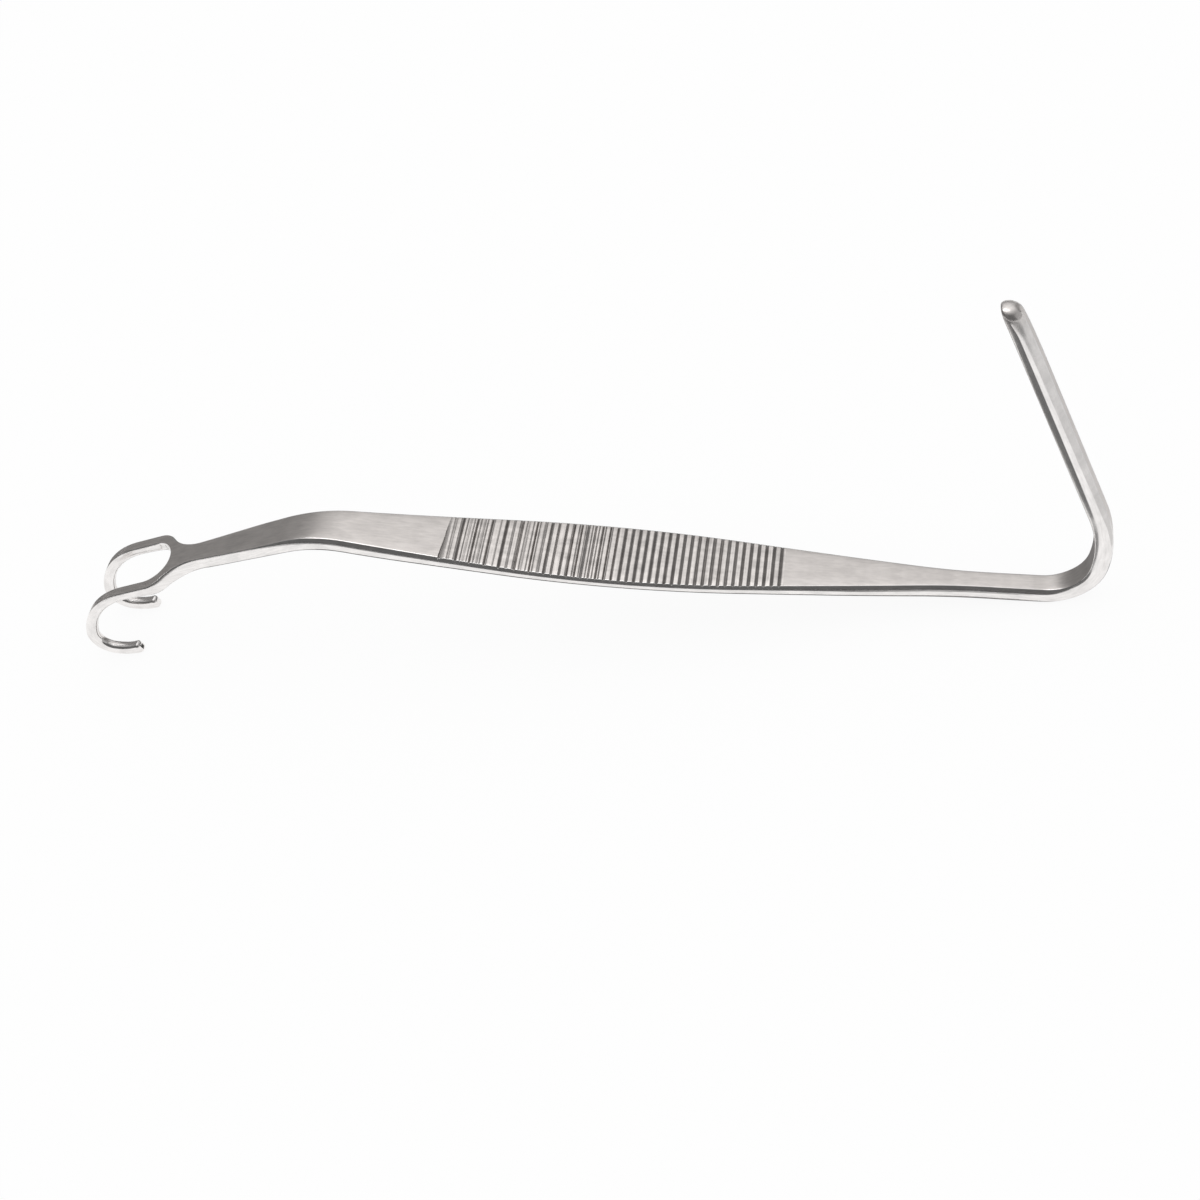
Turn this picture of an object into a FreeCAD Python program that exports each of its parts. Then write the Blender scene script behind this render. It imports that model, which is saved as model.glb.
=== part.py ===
import FreeCAD, Part
import math
import os
import re
import Sketcher
from FreeCAD import Placement, Rotation, Vector

# Hand-held surgical retractor, forged in one piece from a stainless steel bar.
# Grip in the middle with straight cross serrations on both faces, a neck that drops
# to a two-prong blunt hook on the left, and a long narrow blade bent up on the right.

# The grip lies level while it is drawn: X runs along it towards the blade, Y across
# it, Z up, and the origin is on the underside below the thinnest place of the grip.
# At the end the part is tilted to the way it stands, on its two hooks and its heel.

# Driving sizes, in millimetres and degrees (names ending in angle or turn).
SIZES = {
    # Grip bar, seen from the side
    "grip_thickness": 2.4,
    "bar_thickness": 3.35,
    "heel_reach": 79.0,
    "heel_lift": 1.1,
    "neck_reach": 52.5,
    "neck_lift": 0.3,
    # Heel and blade, seen from the side
    "heel_radius": 7.8,
    "heel_turn": 85.0,
    "heel_relief_radius": 23.6,
    "blade_angle": 64.8,
    "blade_length": 51.5,
    "tip_length": 16.0,
    "tip_thickness": 1.7,
    # Neck, prongs and hooks, seen from the side
    "neck_radius": 28.0,
    "neck_angle": 24.9,
    "prong_reach": 9.4,
    "prong_thickness": 2.2,
    "thinning_radius": 45.0,
    "crown_radius": 17.0,
    "crown_turn": 60.1,
    "hook_radius": 5.3,
    "hook_turn": 92.0,
    "toe_radius": 12.0,
    "toe_turn": 31.0,
    # Grip and blade, seen from above
    "grip_width": 14.3,
    "grip_arc_radius": 300.0,
    "grip_centre_offset": 3.0,
    "heel_taper_angle": 5.2,
    "heel_blend_radius": 150.0,
    "blade_width": 4.8,
    # Neck and fork, seen from above
    "neck_taper_angle": 3.75,
    "neck_width": 4.84,
    "neck_arc_radius": 8.0,
    "shoulder_radius": 4.0,
    "fork_width": 14.4,
    "prong_width": 2.2,
    "crotch_inset": 3.8,
    # Rounded ends and edges
    "tip_flat": 0.2,
    "toe_corner_radius": 0.7,
    "rim_chamfer": 0.3,
    # Serrations across both faces of the grip
    "neck_groove_count": 23,
    "heel_groove_count": 22,
    "groove_pitch": 1.43,
    "groove_depth": 0.3,
    "groove_width": 0.6,
}


def make_sheet(document):
    """Write the driving sizes to a spreadsheet, one alias for each."""
    sheet = document.addObject("Spreadsheet::Sheet", "sizes")
    for row, (name, size) in enumerate(SIZES.items(), start=1):
        sheet.set(f"A{row}", name)
        sheet.set(f"B{row}", str(size))
        sheet.setAlias(f"B{row}", name)
    document.recompute()
    return sheet


def formula(text):
    """Point each size named in a formula at its cell, with the unit degree for angles."""
    def cell(match):
        name = match.group(0)
        if name not in SIZES:
            return name
        is_angle = name.endswith(("_angle", "_turn"))
        return f"(sizes.{name} * 1 deg)" if is_angle else f"sizes.{name}"
    return re.sub(r"[a-z_]+", cell, text)


def worked_out(sheet, text):
    """The number that a formula gives, in millimetres or degrees."""
    return float(sheet.evalExpression(formula(text)))


class Trail:
    """An edge line drawn in a sketch as runs and bends, each tangent to the last.

    Every length, radius and turn is a formula of the sizes, and holds its own
    constraint in the sketch.
    """

    def __init__(self, sketch, sheet, x="0", y="0", heading="0 deg", mirrored=False):
        self.sketch = sketch
        self.sheet = sheet
        self.flip = -1 if mirrored else 1
        self.point = Vector(worked_out(sheet, x), self.flip * worked_out(sheet, y), 0)
        self.heading = self.flip * math.radians(worked_out(sheet, heading))
        self.tail = None

    def bound(self, kind, edge, text, number):
        index = self.sketch.addConstraint(Sketcher.Constraint(kind, edge, number))
        self.sketch.setExpression(f"Constraints[{index}]", formula(text))

    def follow(self, edge, first, last):
        if self.tail:
            self.sketch.addConstraint(Sketcher.Constraint("Tangent", *self.tail, edge, first))
        self.tail = (edge, last)

    def run(self, length):
        """A straight run of the given length."""
        number = worked_out(self.sheet, length)
        ahead = Vector(math.cos(self.heading), math.sin(self.heading), 0)
        end = self.point + ahead * number
        edge = self.sketch.addGeometry(Part.LineSegment(self.point, end))
        self.follow(edge, 1, 2)
        self.bound("Distance", edge, length, number)
        self.point = end
        return self

    def bend(self, radius, turn, left):
        """An arc of the given radius that turns to the left or the right."""
        side = self.flip if left else -self.flip
        size = worked_out(self.sheet, radius)
        angle = math.radians(worked_out(self.sheet, turn))
        across = Vector(-math.sin(self.heading), math.cos(self.heading), 0) * side
        centre = self.point + across * size
        start = math.atan2(-across.y, -across.x)
        span = (start, start + angle) if side > 0 else (start - angle, start)
        circle = Part.Circle(centre, Vector(0, 0, 1), size)
        edge = self.sketch.addGeometry(Part.ArcOfCircle(circle, *span))
        first, last = (1, 2) if side > 0 else (2, 1)
        self.follow(edge, first, last)
        self.bound("Radius", edge, radius, size)
        self.bound("Angle", edge, turn, angle)
        self.heading += side * angle
        self.point = centre + Vector(math.sin(self.heading), -math.cos(self.heading), 0) * size * side
        return self

    def left(self, radius, turn):
        return self.bend(radius, turn, True)

    def right(self, radius, turn):
        return self.bend(radius, turn, False)


def close(sketch, one, other):
    """Join the tails of two trails with a straight edge, and give its middle."""
    edge = sketch.addGeometry(Part.LineSegment(one.point, other.point))
    sketch.addConstraint(Sketcher.Constraint("Coincident", edge, 1, *one.tail))
    sketch.addConstraint(Sketcher.Constraint("Coincident", edge, 2, *other.tail))
    return (one.point + other.point) / 2


def new_sketch(body, plane, name):
    """A sketch on one of the origin planes of its body."""
    sketch = body.newObject("Sketcher::SketchObject", name)
    support = [part for part in body.Origin.OriginFeatures if part.Role == plane]
    sketch.AttachmentSupport = (support[0], [""])
    sketch.MapMode = "FlatFace"
    return sketch


# Thickness and slope of the bar where the grip ends, towards the heel and the neck
HEEL_RISE = "(bar_thickness - grip_thickness + heel_lift)"
NECK_RISE = "(bar_thickness - grip_thickness + neck_lift)"
HEEL_SLOPE = f"2 * atan({HEEL_RISE} / heel_reach)"
NECK_SLOPE = f"2 * atan({NECK_RISE} / neck_reach)"
NECK_TAPER_DROP = (
    "((grip_width - neck_width) / 2"
    " - (grip_arc_radius + neck_arc_radius) * (1 - cos(neck_taper_angle)))"
)
FLARE = "acos(1 - (fork_width - neck_width) / 2 / (neck_arc_radius + shoulder_radius))"
BAR_WIDTH = "(grip_width + fork_width)"
HEEL_THICKNESS = f"bar_thickness / cos({HEEL_SLOPE})"
NECK_THICKNESS = f"bar_thickness / cos({NECK_SLOPE})"

# Places along the grip's level: where the fork's shoulders end, the crotch between the
# prongs, and from them the straight part of the neck down to where the hooks bend
SHOULDER_REACH = (
    f"(grip_centre_offset + {NECK_TAPER_DROP} / tan(neck_taper_angle)"
    f" + (grip_arc_radius + neck_arc_radius) * sin(neck_taper_angle)"
    f" + (neck_arc_radius + shoulder_radius) * sin({FLARE}))"
)
CROTCH_REACH = f"({SHOULDER_REACH} - crotch_inset)"
NECK_LENGTH = (
    f"(({CROTCH_REACH} + prong_reach - neck_reach"
    f" - neck_radius * (sin(neck_angle) + sin({NECK_SLOPE}))) / cos(neck_angle))"
)


def bow_radius(reach, rise):
    """Radius of a shallow arc that starts level and rises over the given reach."""
    return f"({reach}^2 + {rise}^2) / (2 * {rise})"


def underside_run(reach, slope, thickness, lift):
    """Length of the flat underside before it turns up to stay square to the top face."""
    return f"{reach} + {thickness} * sin({slope}) - {lift} / tan({slope} / 2)"


def draw_side_view(sketch, sheet):
    """Outline of the whole part seen from the side: top faces, then undersides.

    Gives the middles of its two ends, at the blade's tip and at the hooks' toes, and
    the arcs outside the hooks and under the heel, on which the part rests.
    """
    blade_top = Trail(sketch, sheet, y="grip_thickness")
    blade_top.left(bow_radius("heel_reach", HEEL_RISE), HEEL_SLOPE)
    grip_top = blade_top.tail[0]
    blade_top.left("heel_radius", f"heel_turn - {HEEL_SLOPE}")
    blade_top.left("heel_relief_radius", "180 deg - blade_angle - heel_turn")
    blade_top.run("blade_length")

    blade_under = Trail(sketch, sheet)
    blade_under.run(underside_run("heel_reach", HEEL_SLOPE, HEEL_THICKNESS, "heel_lift"))
    flat_to_heel = blade_under.tail[0]
    blade_under.left(f"heel_lift / (1 - cos({HEEL_SLOPE}))", HEEL_SLOPE)
    blade_under.left(f"heel_radius + {HEEL_THICKNESS}", f"heel_turn - {HEEL_SLOPE}")
    heel = blade_under.tail[0]
    blade_under.left(f"heel_relief_radius + {HEEL_THICKNESS}", "180 deg - blade_angle - heel_turn")
    blade_under.run("blade_length - tip_length")
    relief = f"({HEEL_THICKNESS} - tip_thickness)"
    blade_under.left(bow_radius("tip_length", relief), f"2 * atan({relief} / tip_length)")
    tip = close(sketch, blade_top, blade_under)

    hook_top = Trail(sketch, sheet, y="grip_thickness", heading="180 deg")
    hook_top.right(bow_radius("neck_reach", NECK_RISE), NECK_SLOPE)
    grip_top_to_neck = hook_top.tail[0]
    hook_top.left("neck_radius", f"neck_angle + {NECK_SLOPE}")
    hook_top.run(NECK_LENGTH)
    hook_top.left("crown_radius", "crown_turn")
    hook_top.left("hook_radius", "hook_turn")
    hook = hook_top.tail[0]
    hook_top.left("toe_radius", "toe_turn")

    # The underside thins towards the hooks through two equal arcs, in and out.
    thinning = f"acos(1 - ({NECK_THICKNESS} - prong_thickness) / (2 * thinning_radius))"
    thinned = f"2 * thinning_radius * sin({thinning})"
    hook_under = Trail(sketch, sheet, heading="180 deg")
    hook_under.run(underside_run("neck_reach", NECK_SLOPE, NECK_THICKNESS, "neck_lift"))
    flat_to_neck = hook_under.tail[0]
    hook_under.right(f"neck_lift / (1 - cos({NECK_SLOPE}))", NECK_SLOPE)
    hook_under.left(f"neck_radius - {NECK_THICKNESS}", f"neck_angle + {NECK_SLOPE}")
    hook_under.run(f"{NECK_LENGTH} - {thinned}")
    hook_under.right("thinning_radius", thinning)
    hook_under.left("thinning_radius", thinning)
    hook_under.left("crown_radius - prong_thickness", "crown_turn")
    hook_under.left("hook_radius - prong_thickness", "hook_turn")
    hook_under.left("toe_radius - prong_thickness", "toe_turn")
    toe = close(sketch, hook_top, hook_under)

    # Both pairs start at the thinnest place of the grip, on the upright axis.
    origin, upright = (-1, 1), -2
    sketch.addConstraint(Sketcher.Constraint("Coincident", flat_to_heel, 1, *origin))
    sketch.addConstraint(Sketcher.Constraint("Horizontal", flat_to_heel))
    sketch.addConstraint(Sketcher.Constraint("Coincident", flat_to_neck, 1, *origin))
    sketch.addConstraint(Sketcher.Constraint("Horizontal", flat_to_neck))
    sketch.addConstraint(Sketcher.Constraint("Coincident", grip_top, 1, grip_top_to_neck, 2))
    sketch.addConstraint(Sketcher.Constraint("PointOnObject", grip_top, 3, upright))
    sketch.addConstraint(Sketcher.Constraint("PointOnObject", grip_top, 1, upright))
    sketch.addConstraint(Sketcher.Constraint("PointOnObject", grip_top_to_neck, 3, upright))
    height = worked_out(sheet, "grip_thickness")
    top = sketch.addConstraint(Sketcher.Constraint("DistanceY", *origin, grip_top, 1, height))
    sketch.setExpression(f"Constraints[{top}]", formula("grip_thickness"))
    return tip, toe, hook, heel


def fix_point(sketch, edge, end, x, y, sheet):
    """Hold one end of an edge at a place given by two formulas."""
    for kind, text in (("DistanceX", x), ("DistanceY", y)):
        number = worked_out(sheet, text)
        index = sketch.addConstraint(Sketcher.Constraint(kind, -1, 1, edge, end, number))
        sketch.setExpression(f"Constraints[{index}]", formula(text))


def draw_plan_view(sketch, sheet):
    """The waste on both sides of the outline that the part has from above."""
    widest = "-grip_centre_offset"
    half_width = "grip_width / 2"
    for mirrored in (False, True):
        sign = "-" if mirrored else ""
        blade_side = Trail(sketch, sheet, x=widest, y=half_width, mirrored=mirrored)
        blade_side.right("grip_arc_radius", "heel_taper_angle")
        grip_arc, start = blade_side.tail[0], 1 if mirrored else 2
        drop = "(grip_width - blade_width) / 2"
        drop += " - (grip_arc_radius + heel_blend_radius) * (1 - cos(heel_taper_angle))"
        blade_side.run(f"({drop}) / sin(heel_taper_angle)")
        blade_side.left("heel_blend_radius", "heel_taper_angle")
        blade_side.run("heel_reach")

        fork_side = Trail(sketch, sheet, x=widest, y=half_width, heading="180 deg", mirrored=mirrored)
        fork_side.left("grip_arc_radius", "neck_taper_angle")
        neck_arc, neck_start = fork_side.tail[0], 2 if mirrored else 1
        fork_side.run(f"{NECK_TAPER_DROP} / sin(neck_taper_angle)")
        fork_side.right("neck_arc_radius", f"neck_taper_angle + {FLARE}")
        fork_side.left("shoulder_radius", FLARE)
        fork_side.run("neck_reach")

        fix_point(sketch, grip_arc, start, widest, sign + half_width, sheet)
        sketch.addConstraint(Sketcher.Constraint("Coincident", grip_arc, start, neck_arc, neck_start))
        for arc, end in ((grip_arc, start), (neck_arc, neck_start)):
            sketch.addConstraint(Sketcher.Constraint("Vertical", arc, 3, arc, end))

        far = worked_out(sheet, sign + BAR_WIDTH)
        corners = [fork_side.point, Vector(fork_side.point.x, far, 0),
                   Vector(blade_side.point.x, far, 0), blade_side.point]
        sides = [sketch.addGeometry(Part.LineSegment(a, b)) for a, b in zip(corners, corners[1:])]
        sketch.addConstraint(Sketcher.Constraint("Coincident", sides[0], 1, *fork_side.tail))
        sketch.addConstraint(Sketcher.Constraint("Coincident", sides[0], 2, sides[1], 1))
        sketch.addConstraint(Sketcher.Constraint("Coincident", sides[1], 2, sides[2], 1))
        sketch.addConstraint(Sketcher.Constraint("Coincident", sides[2], 2, *blade_side.tail))
        sketch.addConstraint(Sketcher.Constraint("Vertical", sides[0]))
        sketch.addConstraint(Sketcher.Constraint("Horizontal", sides[1]))
        sketch.addConstraint(Sketcher.Constraint("Vertical", sides[2]))
        index = sketch.addConstraint(Sketcher.Constraint("DistanceY", -1, 1, sides[1], 1, far))
        sketch.setExpression(f"Constraints[{index}]", formula(sign + BAR_WIDTH))


def draw_slot(sketch, sheet):
    """The slot between the prongs, with a round crotch."""
    radius = "fork_width / 2 - prong_width"
    upper = Trail(sketch, sheet, x=f"-{CROTCH_REACH}", heading="90 deg")
    upper.left(radius, "90 deg")
    upper_arc = upper.tail[0]
    upper.run("neck_reach")
    lower = Trail(sketch, sheet, x=f"-{CROTCH_REACH}", heading="90 deg", mirrored=True)
    lower.left(radius, "90 deg")
    lower_arc = lower.tail[0]
    lower.run("neck_reach")
    close(sketch, upper, lower)
    fix_point(sketch, upper_arc, 1, f"-{CROTCH_REACH}", "0", sheet)
    sketch.addConstraint(Sketcher.Constraint("Tangent", upper_arc, 1, lower_arc, 2))
    sketch.addConstraint(Sketcher.Constraint("PointOnObject", upper_arc, 3, -1))


def draw_blade_sides(sketch, sheet):
    """The waste on both sides of the blade, above the heel."""
    heights = "bar_thickness + heel_lift + heel_radius / 2", "2 * blade_length"
    for sign in ("", "-"):
        places = [(sign + across, height) for height in heights
                  for across in ("(blade_width / 2)", BAR_WIDTH)]
        draw_polygon(sketch, sheet, [places[0], places[1], places[3], places[2]])


def draw_groove(sketch, sheet, radius, turn):
    """One serration: a notch into a face that bows about the sketch's origin.

    The radius of the face and the turn from straight down place the notch.
    """
    sine, cosine = f"sin({turn})", f"cos({turn})"
    bed, mouth = f"({radius} + groove_depth)", f"({radius} - groove_depth)"
    places = [
        (f"{bed} * {sine}", f"-{bed} * {cosine}"),
        (f"{mouth} * {sine} + groove_width * {cosine}", f"groove_width * {sine} - {mouth} * {cosine}"),
        (f"{mouth} * {sine} - groove_width * {cosine}", f"-groove_width * {sine} - {mouth} * {cosine}"),
    ]
    draw_polygon(sketch, sheet, places)


def draw_polygon(sketch, sheet, places):
    """A closed outline of straight edges, with its corners at places given by formulas."""
    points = [Vector(worked_out(sheet, x), worked_out(sheet, y), 0) for x, y in places]
    count = len(points)
    sides = [sketch.addGeometry(Part.LineSegment(points[i - 1], points[i])) for i in range(count)]
    for i, (x, y) in enumerate(places):
        following = sides[(i + 1) % count]
        sketch.addConstraint(Sketcher.Constraint("Coincident", sides[i], 2, following, 1))
        fix_point(sketch, sides[i], 2, x, y, sheet)


def add_pocket(body, profile, name):
    """Cut a sketch out of the body on both sides of its plane."""
    pocket = body.newObject("PartDesign::Pocket", name)
    pocket.Profile = (profile, [""])
    pocket.Type = "ThroughAll"
    pocket.SideType = "Symmetric"
    return pocket


# An edge is sharp where its faces meet at more than this angle, in degrees, and
# two points count as one place when they are closer than this, in millimetres.
SHARP = 30
SAME_PLACE = 0.01


def normal_on(face, point):
    """Unit normal of a face at a point on its edge."""
    u, v = face.Surface.parameter(point)
    return face.normalAt(u, v)


def sharp_edges(shape, chosen=lambda edge: True):
    """Names of the edges where two faces meet at a sharp angle."""
    names = []
    for number, edge in enumerate(shape.Edges, start=1):
        sides = shape.ancestorsOfType(edge, Part.Face)
        middle = edge.valueAt((edge.FirstParameter + edge.LastParameter) / 2)
        if len(sides) < 2 or not chosen(edge):
            continue
        if normal_on(sides[0], middle).getAngle(normal_on(sides[1], middle)) > math.radians(SHARP):
            names.append(f"Edge{number}")
    return names


def dress(body, kind, base, edges, size, name):
    """Fillet or chamfer edges of the body's last feature."""
    feature = body.newObject(f"PartDesign::{kind}", name)
    feature.Base = (base, edges)
    feature.setExpression("Radius" if kind == "Fillet" else "Size", formula(size))
    body.Tip = feature
    body.Document.recompute()
    return feature


def forge(document, sheet):
    """The smooth bar: its side view, cut to its plan view, with rounded ends and broken rims."""
    body = document.addObject("PartDesign::Body", "retractor")
    side_view = new_sketch(body, "XZ_Plane", "side_view")
    tip_end, toe_end, hook, heel = draw_side_view(side_view, sheet)
    bar = body.newObject("PartDesign::Pad", "bar")
    bar.Profile = (side_view, [""])
    bar.SideType = "Symmetric"
    bar.setExpression("Length", formula(BAR_WIDTH))

    plan_view = new_sketch(body, "XY_Plane", "plan_view")
    draw_plan_view(plan_view, sheet)
    add_pocket(body, plan_view, "plan_cut")
    blade_view = new_sketch(body, "YZ_Plane", "blade_view")
    draw_blade_sides(blade_view, sheet)
    add_pocket(body, blade_view, "blade_cut")
    slot_view = new_sketch(body, "XY_Plane", "slot_view")
    draw_slot(slot_view, sheet)
    slot = add_pocket(body, slot_view, "slot_cut")
    document.recompute()

    # The corners at the blade's tip and the hooks' toes run through the thickness.
    def corners_at(end):
        def chosen(edge):
            middle = edge.CenterOfMass
            on_end = math.hypot(middle.x - end.x, middle.z - end.y) < SAME_PLACE
            return on_end and abs(middle.y) > SAME_PLACE
        return chosen

    tip = dress(body, "Fillet", slot, sharp_edges(slot.Shape, corners_at(tip_end)),
                "(blade_width - tip_flat) / 2", "round_tip")
    toes = dress(body, "Fillet", tip, sharp_edges(tip.Shape, corners_at(toe_end)),
                 "toe_corner_radius", "round_toes")
    dress(body, "Chamfer", toes, sharp_edges(toes.Shape), "rim_chamfer", "broken_rims")
    return body, side_view.Geometry[hook], side_view.Geometry[heel]


def cut_top_row(body, sheet, name, reach, rise, count, towards_neck):
    """Cut serrations into one side of the top face, turning about the centre of its bow."""
    radius = bow_radius(reach, rise)
    sketch = new_sketch(body, "XZ_Plane", f"{name}_groove_view")
    sketch.setExpression("AttachmentOffset.Base.y", formula(f"grip_thickness + {radius}"))
    sign = "-" if towards_neck else ""
    draw_groove(sketch, sheet, radius, f"({sign}groove_pitch / 2 / ({radius}) * 1 rad)")
    groove = add_pocket(body, sketch, f"{name}_groove")
    row = body.newObject("PartDesign::PolarPattern", f"{name}_row")
    row.Originals = [groove]
    row.Axis = (sketch, ["N_Axis"])
    row.Reversed = towards_neck
    row.setExpression("Occurrences", formula(count))
    row.setExpression("Angle", formula(f"({count} - 1) * groove_pitch / ({radius}) * 1 rad"))
    body.Tip = row
    body.Document.recompute()


def cut_bottom_row(body, sheet):
    """Cut serrations straight across the flat underside."""
    sketch = new_sketch(body, "XZ_Plane", "bottom_groove_view")
    first = "groove_pitch * (1 / 2 - neck_groove_count)"
    draw_polygon(sketch, sheet, [(first, "groove_depth"), (f"{first} - groove_width", "-groove_depth"),
                                 (f"{first} + groove_width", "-groove_depth")])
    groove = add_pocket(body, sketch, "bottom_groove")
    row = body.newObject("PartDesign::LinearPattern", "bottom_row")
    row.Originals = [groove]
    row.Direction = (sketch, ["H_Axis"])
    row.setExpression("Occurrences", "sizes.neck_groove_count + sizes.heel_groove_count")
    row.setExpression("Length", formula("groove_pitch * (neck_groove_count + heel_groove_count - 1)"))
    body.Tip = row
    body.Document.recompute()


def cut_serrations(body, sheet):
    """Cut the serrations into both faces of the grip."""
    cut_top_row(body, sheet, "neck_side", "neck_reach", NECK_RISE, "neck_groove_count", True)
    cut_top_row(body, sheet, "heel_side", "heel_reach", HEEL_RISE, "heel_groove_count", False)
    cut_bottom_row(body, sheet)


def stand(body, hook, heel):
    """Tilt the part to rest on its two hooks and its heel, centred above the origin.

    The hooks and the heel are given as circles in the side view. The floor is the
    line below that touches both.
    """
    between = heel.Center - hook.Center
    down = math.atan2(between.y, between.x)
    down -= math.acos((hook.Radius - heel.Radius) / between.Length)
    tilt = Rotation(Vector(0, -1, 0), -90 - math.degrees(down))
    body.Placement = Placement(Vector(0, 0, 0), tilt)
    box = body.Shape.optimalBoundingBox(False)
    body.Placement = Placement(Vector(-(box.XMin + box.XMax) / 2, 0, -box.ZMin), tilt)


def check(document):
    """Stop if anything in the document is broken."""
    for thing in document.Objects:
        if "Invalid" in thing.State or "Error" in thing.State:
            raise RuntimeError(f"{thing.Name} did not build")
        if hasattr(thing, "Shape") and thing.Shape.Solids and not thing.Shape.isValid():
            raise RuntimeError(f"{thing.Name} is not a valid shape")


def main():
    document = FreeCAD.newDocument("surgical_retractor")
    sheet = make_sheet(document)
    retractor, hook, heel = forge(document, sheet)
    cut_serrations(retractor, sheet)
    stand(retractor, hook, heel)
    document.recompute()
    check(document)
    os.makedirs("parts", exist_ok=True)
    retractor.Shape.exportStep("parts/retractor.step")


main()
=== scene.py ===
import math

import bmesh
import bpy
import numpy as np
from bpy.props import FloatProperty, FloatVectorProperty, IntProperty, PointerProperty
from mathutils import Matrix, Vector


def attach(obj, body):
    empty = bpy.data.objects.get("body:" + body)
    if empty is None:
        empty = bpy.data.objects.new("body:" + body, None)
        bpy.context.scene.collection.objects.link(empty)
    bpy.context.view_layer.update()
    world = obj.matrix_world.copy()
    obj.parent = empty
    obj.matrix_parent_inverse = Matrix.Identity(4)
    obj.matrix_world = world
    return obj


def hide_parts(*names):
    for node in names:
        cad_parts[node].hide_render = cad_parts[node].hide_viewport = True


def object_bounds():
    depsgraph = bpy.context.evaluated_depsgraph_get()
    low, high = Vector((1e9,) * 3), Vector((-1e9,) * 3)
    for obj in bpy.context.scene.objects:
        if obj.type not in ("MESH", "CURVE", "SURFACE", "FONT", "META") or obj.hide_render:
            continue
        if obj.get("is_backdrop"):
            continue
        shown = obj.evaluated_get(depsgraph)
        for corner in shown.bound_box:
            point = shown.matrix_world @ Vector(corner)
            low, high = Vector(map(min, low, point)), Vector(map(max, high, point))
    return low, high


bl_info = {
    "name": "Hand-held Retractor",
    "version": (1, 0, 0),
    "blender": (4, 5, 0),
    "location": "View3D > Sidebar > Retractor",
    "description": "Builds a double-ended surgical retractor in satin steel, and its studio",
    "category": "Object",
}

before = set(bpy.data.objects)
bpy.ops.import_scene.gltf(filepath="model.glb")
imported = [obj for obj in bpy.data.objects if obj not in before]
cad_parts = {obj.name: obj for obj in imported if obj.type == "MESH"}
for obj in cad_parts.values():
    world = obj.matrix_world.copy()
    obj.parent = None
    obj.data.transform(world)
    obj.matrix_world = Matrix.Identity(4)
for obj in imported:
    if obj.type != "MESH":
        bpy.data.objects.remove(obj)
CAD_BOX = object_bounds()
MM = 0.001


# Sizes

def length(name, description, millimetres):
    """A length setting, given in millimetres and kept in metres."""
    return FloatProperty(name=name, description=description, default=millimetres * MM,
                         min=0, unit="LENGTH", precision=5)


def angle(name, description, degrees):
    """An angle setting, given in degrees and kept in radians."""
    return FloatProperty(name=name, description=description, default=math.radians(degrees),
                         unit="ROTATION")


def fraction(name, description, default):
    """A setting between 0 and 1."""
    return FloatProperty(name=name, description=description, default=default, min=0, max=1)


def count(name, description, default):
    """A setting that counts."""
    return IntProperty(name=name, description=description, default=default, min=0)


def colour(name, description, default):
    """A colour setting."""
    return FloatVectorProperty(name=name, description=description, default=default,
                               subtype="COLOR", size=3)


def point(name, description, default):
    """A place, with the grip level."""
    return FloatVectorProperty(name=name, description=description, default=default,
                               subtype="XYZ", unit="LENGTH", size=3)


class SideViewSizes(bpy.types.PropertyGroup):
    """The bar seen from the side, with the grip level."""

    grip_thickness: length("Grip Thickness", "Thickness at the thinnest place", 2.4)
    bar_thickness: length("Bar Thickness", "Thickness of neck, heel and blade", 3.35)
    heel_reach: length("Heel Reach", "From the thinnest place to the heel", 79.0)
    heel_lift: length("Heel Lift", "Rise of the underside at the heel", 1.1)
    neck_reach: length("Neck Reach", "From the thinnest place to the neck", 52.5)
    neck_lift: length("Neck Lift", "Rise of the underside at the neck", 0.3)
    heel_radius: length("Heel Radius", "Inner bend of the heel", 7.8)
    heel_turn: angle("Heel Turn", "Angle of the heel's tight bend", 85.0)
    heel_relief_radius: length("Heel Relief Radius", "Wide bend above the heel", 23.6)
    blade_angle: angle("Blade Angle", "Between the blade and the grip", 64.8)
    blade_length: length("Blade Length", "Straight part of the blade", 51.5)
    tip_length: length("Tip Length", "Length over which the blade thins", 13.0)
    tip_thickness: length("Tip Thickness", "Thickness before the tip's rounding", 3.1)
    tip_round: length("Tip Round", "Rounding of the outer face at the very tip", 3.0)
    tip_turn: angle("Tip Turn", "Angle of the rounding at the very tip", 68.0)
    neck_radius: length("Neck Radius", "Bend between the grip and the neck", 28.0)
    neck_angle: angle("Neck Angle", "Slope of the neck below the grip", 24.9)
    prong_reach: length("Prong Reach", "Straight part of the prongs, seen from above", 9.4)
    prong_thickness: length("Prong Thickness", "Thickness of the prongs", 2.2)
    thinning_radius: length("Thinning Radius", "Both bends where the neck thins", 45.0)
    crown_radius: length("Crown Radius", "Wide bend of the hooks", 17.0)
    crown_turn: angle("Crown Turn", "Angle of the wide bend", 60.1)
    hook_radius: length("Hook Radius", "Tight bend of the hooks", 5.3)
    hook_turn: angle("Hook Turn", "Angle of the tight bend", 92.0)
    toe_radius: length("Toe Radius", "Bend of the blunt toes", 12.0)
    toe_turn: angle("Toe Turn", "Angle of the toes' bend", 31.0)


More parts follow.
